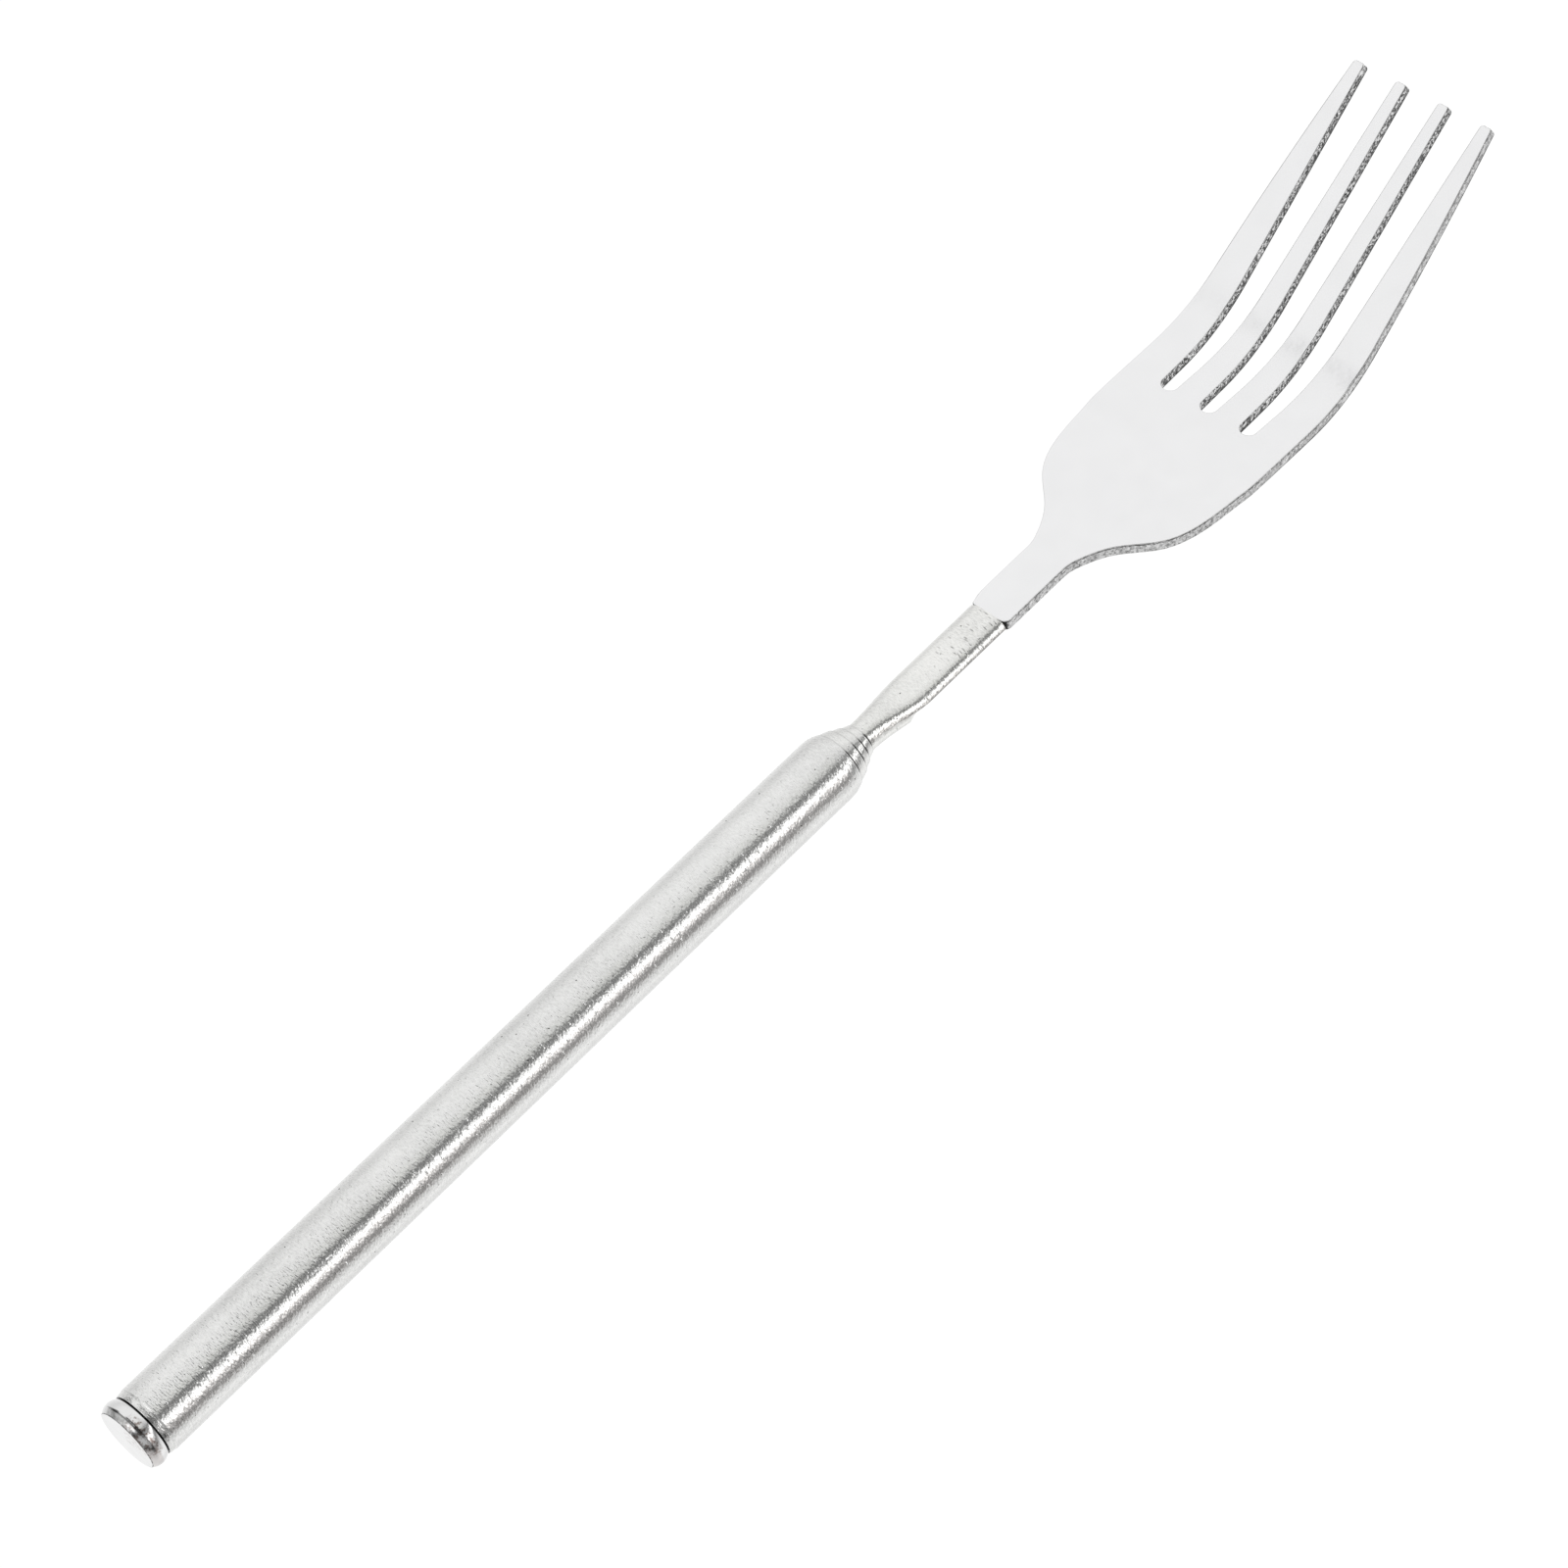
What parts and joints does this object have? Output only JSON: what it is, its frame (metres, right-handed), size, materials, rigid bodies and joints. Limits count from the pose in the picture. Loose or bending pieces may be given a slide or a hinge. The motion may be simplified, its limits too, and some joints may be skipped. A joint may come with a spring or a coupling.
{
  "type": "telescopic roasting fork",
  "caption": "Telescopic steel roasting fork, closed up: round brushed handle, nested sliding tubes, pressed neck and a polished four-tined head.",
  "frame": {"origin": "centre of the flat face at the butt of the handle", "axes": "+Y along the telescope from the butt to the tines, +X across the fork head, +Z towards the side that the tines turn up to"},
  "size_m": [0.025, 0.2254, 0.0229],
  "materials": {
    "handle_steel": "brushed round the girth",
    "tube_steel": "finely brushed round the girth",
    "cap_steel": "polished",
    "head_steel": "tumbled to a soft polish, sheared edges",
    "bush_brass": "turned",
    "spring_bronze": "rolled strip"
  },
  "bodies": {
    "handle": {"handle_tube": "handle_steel", "end_cap": "cap_steel"},
    "second_springs": {"second_spring_upper": "spring_bronze", "second_spring_lower": "spring_bronze"},
    "second_section": {"second_tube": "tube_steel", "second_bush": "bush_brass"},
    "third_springs": {"third_spring_upper": "spring_bronze", "third_spring_lower": "spring_bronze"},
    "third_section": {"third_tube": "tube_steel", "third_bush": "bush_brass"},
    "fourth_springs": {"fourth_spring_upper": "spring_bronze", "fourth_spring_lower": "spring_bronze"},
    "fourth_section": {"fourth_tube": "tube_steel", "fourth_bush": "bush_brass"},
    "neck_springs": {"neck_spring_upper": "spring_bronze", "neck_spring_lower": "spring_bronze"},
    "fork": {"neck_tube": "tube_steel", "neck_bush": "bush_brass", "fork_head": "head_steel"}
  },
  "joints": [
    {"name": "second_slide", "type": "slide", "parent": "handle", "child": "second_springs", "axis": [0, 1, 0], "range_m": [0, 0.1]},
    {"name": "second_spin", "type": "hinge", "parent": "second_springs", "child": "second_section", "pos_m": [0, 0, 0], "axis": [0, 1, 0], "continuous": true},
    {"name": "third_slide", "type": "slide", "parent": "second_section", "child": "third_springs", "axis": [0, 1, 0], "range_m": [0, 0.1]},
    {"name": "third_spin", "type": "hinge", "parent": "third_springs", "child": "third_section", "pos_m": [0, 0, 0], "axis": [0, 1, 0], "continuous": true},
    {"name": "fourth_slide", "type": "slide", "parent": "third_section", "child": "fourth_springs", "axis": [0, 1, 0], "range_m": [0, 0.1]},
    {"name": "fourth_spin", "type": "hinge", "parent": "fourth_springs", "child": "fourth_section", "pos_m": [0, 0, 0], "axis": [0, 1, 0], "continuous": true},
    {"name": "neck_slide", "type": "slide", "parent": "fourth_section", "child": "neck_springs", "axis": [0, 1, 0], "range_m": [0, 0.1]},
    {"name": "neck_spin", "type": "hinge", "parent": "neck_springs", "child": "fork", "pos_m": [0, 0, 0], "axis": [0, 1, 0], "continuous": true}
  ]
}
